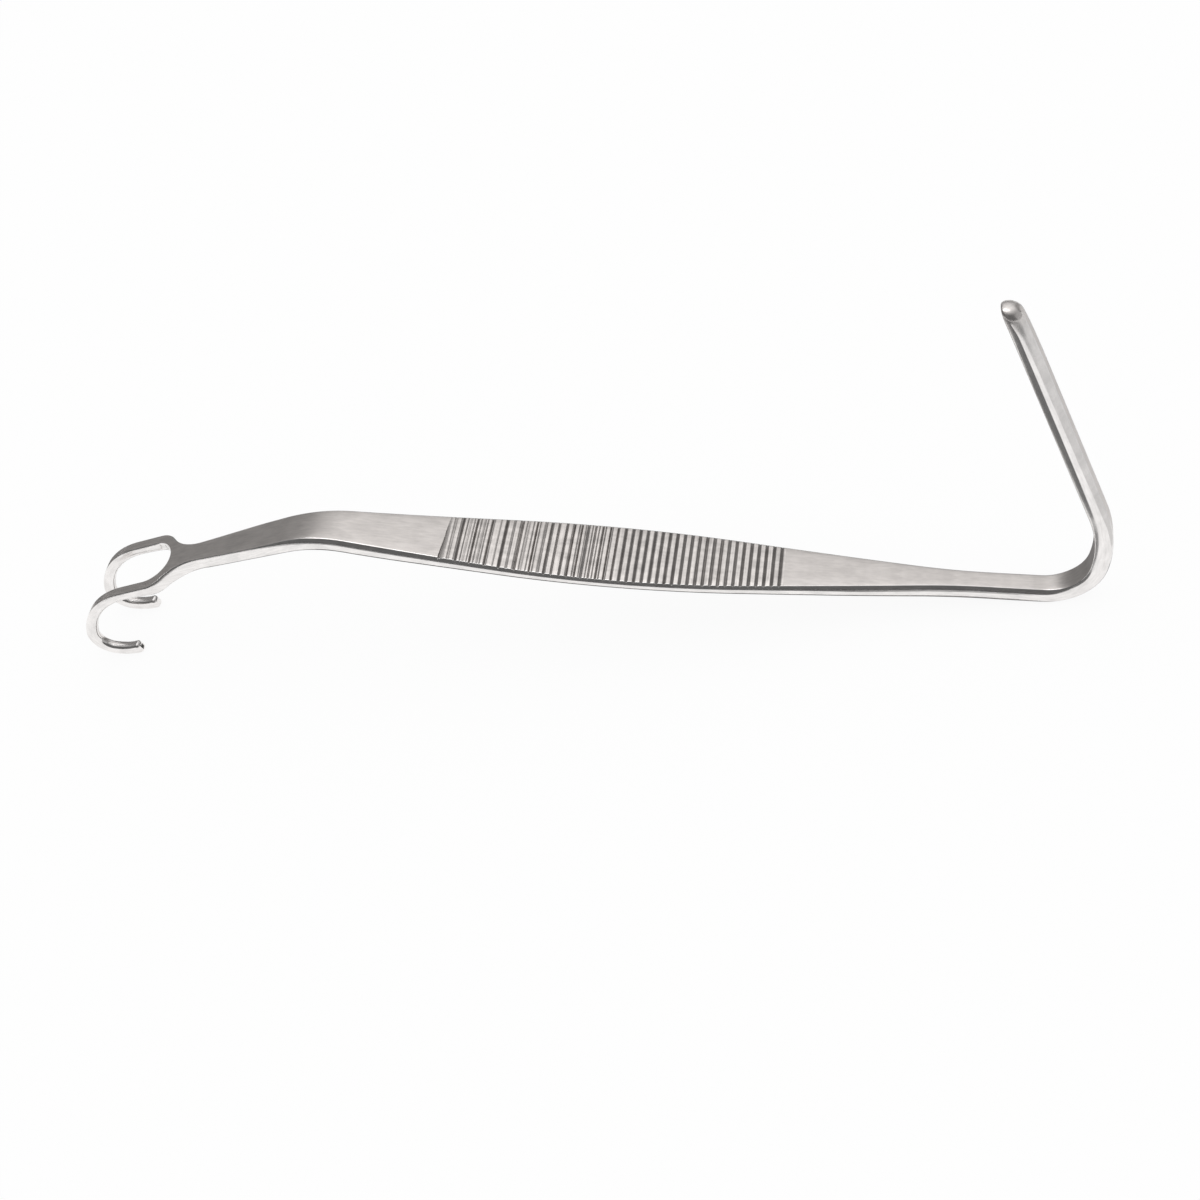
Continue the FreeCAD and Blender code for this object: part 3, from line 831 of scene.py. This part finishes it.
# Least width of the slanted facet, and its depth as a share of its width.
FACET_LEAST = 0.00015
FACET_SLOPE = 0.25


def notch(chain, distance, width):
    """A groove that is deepest at no distance and ends at half its width."""
    return chain.carry(distance, 0.0, width / 2.0, 1.0, 0.0)


def row_distance(place, pitch, shift):
    """Distance from the middle of the nearest groove of a row."""
    return ((place.fraction() - 0.5) * pitch - shift).absolute()


def serration_tree():
    """Geometry nodes that press straight grooves into both faces of the grip."""
    tree = bpy.data.node_groups.new("Cross Serrations", "GeometryNodeTree")
    tree.interface.new_socket("Geometry", in_out="OUTPUT", socket_type="NodeSocketGeometry")
    inputs = {name: tree.interface.new_socket(name, in_out="INPUT",
                                              socket_type="NodeSocket" + kind).identifier
              for kind, names in TREE_INPUTS.items() for name in names}
    chain = NodeChain(tree)
    given = {socket.name: NodeValue(chain, socket)
             for socket in tree.nodes.new("NodeGroupInput").outputs}
    along = chain.geometry_attribute("along")
    place = along / given["Pitch"]
    number = place.floor()
    on_neck_side = along < 0.0

    # The even row, whose grooves wander and differ in width on the neck's side.
    wander = chain.random(-1.0, 1.0, number, given["Seed"]) * given["Wander"] * on_neck_side
    narrow = chain.random(0.0, NARROWEST, number, given["Seed"] + 1.0) * on_neck_side
    even_row = notch(chain, row_distance(place, given["Pitch"], wander),
                     given["Width"] * (1.0 - narrow))
    shallow = chain.random(0.0, given["Unevenness"], number, given["Seed"] + 2.0)
    odd = (number * 0.5).fraction() * 2.0
    faint = odd * PAIRED_FAINT * (along < given["Pitch"] * -PAIRED_FROM)
    even_row = even_row * (given["Depth"] * (1.0 - shallow) * (1.0 - faint))

    # The finer second cut on the neck's side.
    recut = row_distance(along / given["Recut Pitch"], given["Recut Pitch"], 0.0)
    recut = notch(chain, recut, given["Recut Width"]) * (given["Recut Depth"] * on_neck_side)
    from_neck = number > given["Towards Neck"] * -1.0 - 0.5
    rows = even_row.larger(recut) * (from_neck * (number < given["Towards Heel"] - 0.5))

    # The facet before the first groove, widest at the near side.
    start = given["Towards Neck"] * (given["Pitch"] * -1.0)
    position = chain.node("GeometryNodeInputPosition")
    across = chain.node("ShaderNodeSeparateXYZ", {0: position}, output="Y")
    nearness = across / (given["Half Width"] * -2.0) + 0.5
    reach = nearness * given["Facet"] + FACET_LEAST
    facet = chain.carry(along, start - reach, start, 1.0, 0.0) * (along > start - reach)
    groove = rows.larger(facet * (reach * FACET_SLOPE))

    # Each face gives way by the part of the groove that lies in it.
    sink = (groove - chain.geometry_attribute("below_top")).larger(0.0)
    lift = (groove - chain.geometry_attribute("above_underside")).larger(0.0)
    offset = chain.scale(chain.geometry_attribute("outward", "FLOAT_VECTOR"), lift - sink)
    marked = chain.node("GeometryNodeStoreNamedAttribute", {
        0: given["Geometry"], 2: "pressed", 3: (sink + lift) / given["Depth"]})
    moved = chain.node("GeometryNodeSetPosition", {0: marked, "Offset": offset})
    realized = chain.node("GeometryNodeRealizeInstances", {0: moved})
    coated = chain.node("GeometryNodeSetMaterial", {0: realized, "Material": given["Material"]})
    coated.join(tree.nodes.new("NodeGroupOutput").inputs[0])
    return tree, inputs


# Steel

# Streaks to a millimetre along the bar and around it, and how fine their detail is.
GRAIN = (0.35, 2.2), 4.0
MILL_MARKS = (3.2, 0.08), 3.0
CLOUDS = (0.25, 0.5), 2.0
STREAK_ROUGHNESS = 0.65

# Sums of streaks and clouds at which the steel is darkest, and at which it is clear.
DARK_AT = 0.75
CLEAR_AT = 1.2

# How much the grain changes the roughness.
GRAIN_ROUGHNESS = 0.1

# Shares of a groove's depth at which its ridge ends and at which its painted shade is darkest.
RIDGE_TOP = 0.12
GROOVE_DEEP = 0.6


def node_material(name):
    """A new material with its chain of nodes, its surface and its output."""
    material = bpy.data.materials.new(name)
    material.use_nodes = True
    nodes = material.node_tree.nodes
    output = nodes["Material Output"].inputs[0]
    return material, NodeChain(material.node_tree), nodes["Principled BSDF"], output


def streaks(chain, place, scale, detail):
    """A stretched noise, with a scale along the bar and one around it."""
    inputs = {"Vector": place, "Scale": (*scale, 1.0)}
    stretched = chain.node("ShaderNodeMapping", inputs)
    inputs = {"Vector": stretched, "Scale": 1.0, "Detail": detail,
              "Roughness": STREAK_ROUGHNESS}
    return chain.node("ShaderNodeTexNoise", inputs)


def satin_steel(look):
    """Forged steel: flats with lengthwise grain, milled serrations and polished side faces.

    The UV map holds millimetres along the bar and around it.
    """
    material, chain, surface, _ = node_material("Satin Steel")
    surface.inputs["Metallic"].default_value = 1.0
    polish = chain.shader_attribute("polish")
    satin = 1.0 - polish
    milled = chain.shader_attribute("milled") * satin
    pressed = chain.shader_attribute("pressed")
    place = chain.node("ShaderNodeTexCoord", output="UV")
    grain, mill_marks, clouds = (streaks(chain, place, scale, detail)
                                 for scale, detail in (GRAIN, MILL_MARKS, CLOUDS))
    pattern = chain.mix(milled, grain, mill_marks)

    steel = chain.node("ShaderNodeMix", {0: polish, 6: (*look.satin, 1), 7: (*look.polished, 1)},
                       output=2, data_type="RGBA")
    darkest = chain.carry(milled, 0.0, 1.0, 1.0 - look.mottling, 1.0 - look.mill_mottling)
    shade = chain.carry(pattern + clouds, DARK_AT, CLEAR_AT, darkest, 1.0)
    # Painted shade: the colour darkens towards the bottom of each groove.
    shade *= chain.carry(pressed, RIDGE_TOP, GROOVE_DEEP, 1.0, 1.0 - look.groove_dirt)
    shade *= milled * (pressed < RIDGE_TOP) * look.ridge_shine + 1.0
    chain.scale(steel, shade).join(surface.inputs["Base Color"])

    rough = chain.carry(polish, 0.0, 1.0, look.satin_roughness, look.polished_roughness)
    rough += (grain - 0.5) * GRAIN_ROUGHNESS
    rough.join(surface.inputs["Roughness"])
    height = chain.carry(milled, 0.0, 1.0, look.grain_height, look.mill_height) * satin
    bump = chain.node("ShaderNodeBump", {"Strength": 1.0, "Distance": height, "Height": pattern})
    bump.join(surface.inputs["Normal"])
    return material


# Pieces

# Points nearer than this are merged.
MERGE = 0.000002

# Edges that bend by more than this stay sharp.
CREASE_ANGLE = math.radians(28)

# How much of the side faces' polish is lost at the blade's tip.
TIP_SATIN = 0.8


def find_group(name):
    """The settings of this add-on with the given name."""
    return getattr(bpy.context.scene, name)


class Sizes:
    """All the settings that shape the bar."""

    def __init__(self):
        self.side_view = find_group("retractor_side_view")
        self.plan_view = find_group("retractor_plan_view")
        self.edges = find_group("retractor_edges")
        self.serrations = find_group("retractor_serrations")


def float_attribute(mesh, name, values, kind="FLOAT", domain="POINT"):
    """Store numbers on a mesh."""
    layer = mesh.attributes.new(name, kind, domain)
    field = "vector" if kind == "FLOAT_VECTOR" else "value"
    layer.data.foreach_set(field, np.ascontiguousarray(values, dtype=np.float32).ravel())


def level_half(sizes):
    """Half of the bar with the grip level, with what its nodes and its steel read."""
    plan, side_view, points, faces, walls = bar_mesh(sizes)
    _, outward, thickness = side_view.place(*points.T)
    depth = points[:, 2] * thickness + points[:, 3]
    crowned = points.copy()
    crowned[:, 3] += top_crown(plan, points, depth, thickness, sizes.edges.crown)
    place, _, _ = side_view.place(*crowned.T)

    mesh = bpy.data.meshes.new("retractor")
    mesh.from_pydata(place.tolist(), [], faces)
    along = points[:, 0]
    float_attribute(mesh, "along", along)
    float_attribute(mesh, "below_top", depth)
    float_attribute(mesh, "above_underside", thickness - depth)
    float_attribute(mesh, "outward", outward, "FLOAT_VECTOR")
    face_starts = along[[face[0] for face in faces]]
    satin_tip = TIP_SATIN * smooth((face_starts - side_view.tip_along) / TIP_BLEND + 1)
    float_attribute(mesh, "polish", np.array(walls) * (1 - satin_tip), domain="FACE")
    serrations = sizes.serrations
    milled = along > -serrations.towards_neck * serrations.pitch
    milled &= along < serrations.towards_heel * serrations.pitch
    float_attribute(mesh, "milled", milled)
    grain = mesh.uv_layers.new(name="Grain")
    unrolled = np.stack([along, points[:, 1] + depth], 1) / MM
    corners = unrolled[np.array(faces).ravel()]
    grain.data.foreach_set("uv", corners.astype(np.float32).ravel())
    return mesh, side_view


def close_with_mirror(mesh):
    """Add the other half of the bar, and join both at their middle and at their rims."""
    both = bmesh.new()
    both.from_mesh(mesh)
    bmesh.ops.mirror(both, geom=both.verts[:] + both.edges[:] + both.faces[:],
                     matrix=Matrix.Identity(4), merge_dist=MERGE, axis="Y")
    bmesh.ops.remove_doubles(both, verts=both.verts[:], dist=MERGE)
    bmesh.ops.dissolve_degenerate(both, edges=both.edges[:], dist=MERGE)
    bmesh.ops.recalc_face_normals(both, faces=both.faces[:])
    both.to_mesh(mesh)
    both.free()


def stand_up(mesh, side_view):
    """Stand the level bar on the floor, with its outward directions. Returns the matrix."""
    stand = standing(side_view, np.array([vertex.co for vertex in mesh.vertices]))
    mesh.transform(stand)
    turned = mesh.attributes["outward"]
    outward = np.zeros(len(mesh.vertices) * 3, dtype=np.float32)
    turned.data.foreach_get("vector", outward)
    outward = outward.reshape(-1, 3) @ np.array(stand.to_3x3()).T
    turned.data.foreach_set("vector", outward.astype(np.float32).ravel())
    return stand


class RETRACTOR_OT_bar(bpy.types.Operator):
    """Build the forged bar with its hooks, blade and serrations"""

    bl_idname = "retractor.bar"
    bl_label = "Forged Bar"

    def execute(self, context):
        sizes = Sizes()
        mesh, side_view = level_half(sizes)
        close_with_mirror(mesh)
        stand = stand_up(mesh, side_view)
        context.scene["retractor_stand"] = [value for row in stand for value in row]

        bar = bpy.data.objects.new("forged_bar", mesh)
        context.scene.collection.objects.link(bar)
        tree, inputs = serration_tree()
        modifier = bar.modifiers.new("Serrations", "NODES")
        modifier.node_group = tree
        values = {"Half Width": sizes.plan_view.grip_width / 2,
                  "Material": satin_steel(find_group("retractor_look"))}
        for name in inputs:
            if name not in ("Geometry", *values):
                values[name] = getattr(sizes.serrations, name.lower().replace(" ", "_"))
        for name, value in values.items():
            modifier[inputs[name]] = value
        evaluated = bar.evaluated_get(context.evaluated_depsgraph_get())
        finished = bpy.data.meshes.new_from_object(evaluated)
        bar.modifiers.remove(modifier)
        bar.data = finished
        finished.polygons.foreach_set("use_smooth", [True] * len(finished.polygons))
        finished.set_sharp_from_angle(angle=CREASE_ANGLE)
        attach(bar, "root")
        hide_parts("retractor")
        return {"FINISHED"}


# Studio

# The soft lamp: its azimuth and elevation, the cosines of the angles at its rim and its
# core, how it fades between them, and its shade against that of the rest of the sky.
LAMP_DIRECTION = (90, 70)
LAMP_EDGE = 0.2
LAMP_CORE = 0.97
LAMP_FALLOFF = 1.9
LAMP_SHADE = 1.05
SKY_SHADE = 0.1

# The floor: half its width, its grey and gloss under light, and its shade in reflections.
FLOOR_REACH = 3.0
FLOOR_GREY = 0.9
FLOOR_ROUGHNESS = 0.9
FLOOR_GLOW = 0.9

# Cards that face the object: azimuth and elevation in degrees, width and height in metres,
# and shade. They darken the bevels and the neck, and light the tip and the crease.
CARD_DISTANCE = 1.2
FACING_CARDS = {
    "front_card": (-95, 35, (2.4, 1.1), 0.12),
    "hooks_card": (150, 28, (1.3, 1.2), 0.245),
    "tip_card": (-8, 16, (1.3, 0.9), 0.45),
    "strip_lamp": (170, 81, (0.3, 0.9), 3.0),
}

# Cards that lie on the floor: shade, and corners in millimetres. Their near edges follow
# the bar, so that its walls stay bright above a dark line. The last two give the blade its
# dark strip and its grey back.
CARD_LIFT = 0.0001
FLOOR_CARDS = {
    "back_card": (0.22, [(-60, -7.5), (20, -8), (90, -2.5), (107, 1), (107, 300), (-60, 300)]),
    # Painted shadow: a dark sheet under the bar, where its own shadow falls, which the lower rims
    # reflect as a dark line.
    "under_card": (0.01, [(-60, -14.5), (-30, -15), (0, -13.2), (30, -10.1), (60, -6.2),
                          (90, -2.9), (85, -3), (20, -8.2), (-60, -7.7)]),
    # Painted shadow: a dark sheet under the near hook, where its shadow falls, which its rims and
    # toe reflect.
    "toe_card": (0.05, [(-90.8, -6.2), (-80, -6.2), (-80, -2.2), (-90.8, -2.2)]),
    "far_card": (0.2, [(-400, 14), (-82, 14), (-80, -3), (-60, -3), (-60, 300), (-400, 300)]),
    "near_card": (0.17, [(-200, -500), (300, -500), (300, -90), (70, -90), (66, -60),
                         (76.5, -38), (89, -14.5), (88, -9), (55, -12.5), (30, -35),
                         (-20, -60), (-200, -80)]),
    "side_card": (0.7, [(115, -300), (500, -300), (500, 300), (115, 300)]),
}

# Nothing nearer to the camera than this is drawn.
CLIP_START = 0.01


def soft_sky(tree):
    """White surroundings in which the steel sees one large soft lamp, behind and above it."""
    chain = NodeChain(tree)
    direction = chain.node("ShaderNodeTexCoord", output="Generated")
    azimuth, elevation = (math.radians(degrees) for degrees in LAMP_DIRECTION)
    towards = (math.cos(azimuth) * math.cos(elevation), math.sin(azimuth) * math.cos(elevation),
               math.sin(elevation))
    nearness = chain.node("ShaderNodeVectorMath", {0: direction, 1: towards}, output="Value",
                          operation="DOT_PRODUCT")
    share = chain.carry(nearness, LAMP_EDGE, LAMP_CORE, 0.0, 1.0)
    lamp = chain.carry(share ** LAMP_FALLOFF, 0.0, 1.0, SKY_SHADE, LAMP_SHADE)
    reflected = chain.node("ShaderNodeLightPath", output="Is Glossy Ray")
    background = tree.nodes["Background"].inputs
    background[0].default_value = (1, 1, 1, 1)
    chain.mix(reflected, 1.0, lamp).join(background[1])


def white_floor(shadow):
    """Pale floor, plain white to the camera and to reflections, with a faint shadow."""
    material, chain, surface, output = node_material("Studio Floor")
    surface.inputs["Base Color"].default_value = (FLOOR_GREY, FLOOR_GREY, FLOOR_GREY, 1)
    surface.inputs["Roughness"].default_value = FLOOR_ROUGHNESS
    surface.inputs["Specular IOR Level"].default_value = 0.0
    white = chain.node("ShaderNodeEmission", {0: (1, 1, 1, 1), 1: 1.0})
    seen, glossy, through = (chain.node("ShaderNodeLightPath", output=ray) for ray in (
        "Is Camera Ray", "Is Glossy Ray", "Is Transmission Ray"))
    white_share = (seen * (1 - shadow)).larger(glossy.larger(through) * FLOOR_GLOW)
    lit = NodeValue(chain, surface.outputs[0])
    chain.node("ShaderNodeMixShader", {0: white_share, 1: lit, 2: white}).join(output)
    return material


def glowing(name, shade):
    """A card's material, which shines evenly."""
    material, chain, surface, output = node_material(name)
    chain.tree.nodes.remove(surface)
    chain.node("ShaderNodeEmission", {0: (shade, shade, shade, 1), 1: 1.0}).join(output)
    return material


def stage_mesh(name, corners, material):
    """A flat piece of the stage with the given corners."""
    mesh = bpy.data.meshes.new(name)
    mesh.from_pydata(corners, [], [tuple(range(len(corners)))])
    mesh.materials.append(material)
    piece = bpy.data.objects.new(name, mesh)
    bpy.context.scene.collection.objects.link(piece)
    piece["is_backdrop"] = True
    return piece


def card(name, corners, shade):
    """A flat card that only reflections see."""
    piece = stage_mesh(name, corners, glowing(name, shade))
    piece.visible_camera = False
    piece.visible_shadow = False
    piece.visible_diffuse = False


def facing_card(name, azimuth, elevation, size, shade):
    """A card that faces the object from a direction."""
    turn = Matrix.Rotation(math.radians(azimuth), 4, "Z")
    turn = turn @ Matrix.Rotation(math.radians(90 - elevation), 4, "Y")
    half_width, half_height = size[0] / 2, size[1] / 2
    corners = [turn @ Vector((x, y, CARD_DISTANCE)) for x, y in (
        (-half_height, -half_width), (half_height, -half_width),
        (half_height, half_width), (-half_height, half_width))]
    card(name, corners, shade)


def floor_card(name, shade, corners):
    """A card that lies on the floor."""
    card(name, [(x * MM, y * MM, CARD_LIFT) for x, y in corners], shade)


def camera_view(stand, studio):
    """Where the camera stands and how it is turned, as it looks at the standing bar."""
    place = stand @ Vector(studio.camera_place)
    aim = stand @ Vector(studio.camera_aim)
    upright = stand.to_3x3() @ Vector((0, 0, 1))
    back = (place - aim).normalized()
    right = upright.cross(back).normalized()
    view = Matrix((right, back.cross(right), back)).transposed()
    view = view @ Matrix.Rotation(studio.camera_roll, 3, "Z")
    return Matrix.Translation(place) @ view.to_4x4()


class RETRACTOR_OT_studio(bpy.types.Operator):
    """Build the floor, the lights and the camera"""

    bl_idname = "retractor.studio"
    bl_label = "Studio"

    def execute(self, context):
        scene = context.scene
        studio = find_group("retractor_studio")
        world = bpy.data.worlds.new("Studio")
        world.use_nodes = True
        soft_sky(world.node_tree)
        scene.world = world

        reach = FLOOR_REACH
        stage_mesh("floor", [(-reach, -reach, 0), (reach, -reach, 0), (reach, reach, 0),
                             (-reach, reach, 0)], white_floor(studio.shadow))
        for name, place in FACING_CARDS.items():
            facing_card(name, *place)
        for name, place in FLOOR_CARDS.items():
            floor_card(name, *place)

        stand = Matrix([scene["retractor_stand"][row * 4:row * 4 + 4] for row in range(4)])
        camera = bpy.data.objects.new("camera", bpy.data.cameras.new("camera"))
        camera.data.lens = studio.lens
        camera.data.clip_start = CLIP_START
        camera.matrix_world = camera_view(stand, studio)
        scene.collection.objects.link(camera)
        scene.camera = camera
        camera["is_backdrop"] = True
        scene.view_settings.view_transform = "Standard"
        return {"FINISHED"}


# Add-on

class RETRACTOR_PT_panel(bpy.types.Panel):
    """Settings and steps of the retractor"""

    bl_idname = "RETRACTOR_PT_panel"
    bl_label = "Retractor"
    bl_space_type = "VIEW_3D"
    bl_region_type = "UI"
    bl_category = "Retractor"

    def draw(self, context):
        for group in SETTINGS:
            box = self.layout.box()
            settings = getattr(context.scene, group)
            for name in settings.bl_rna.properties.keys():
                if name not in ("rna_type", "name"):
                    box.prop(settings, name)
        for operator in (RETRACTOR_OT_bar, RETRACTOR_OT_studio):
            self.layout.operator(operator.bl_idname)


SETTINGS = {
    "retractor_side_view": SideViewSizes,
    "retractor_plan_view": PlanViewSizes,
    "retractor_edges": EdgeSizes,
    "retractor_serrations": SerrationSizes,
    "retractor_look": SteelLook,
    "retractor_studio": StudioSizes,
}
CLASSES = [*SETTINGS.values(), RETRACTOR_OT_bar, RETRACTOR_OT_studio, RETRACTOR_PT_panel]


def register():
    """Add the classes and their settings to Blender."""
    for cls in CLASSES:
        bpy.utils.register_class(cls)
    for name, cls in SETTINGS.items():
        setattr(bpy.types.Scene, name, PointerProperty(type=cls))


def unregister():
    """Remove the settings and the classes again."""
    for name in SETTINGS:
        delattr(bpy.types.Scene, name)
    for cls in reversed(CLASSES):
        bpy.utils.unregister_class(cls)


def main():
    """Build everything."""
    register()
    bpy.ops.retractor.bar()
    bpy.ops.retractor.studio()
    boxes = {"cad": CAD_BOX, "visual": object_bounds()}
    boxes = {name: [list(corner) for corner in box] for name, box in boxes.items()}


if __name__ == "__main__":
    main()
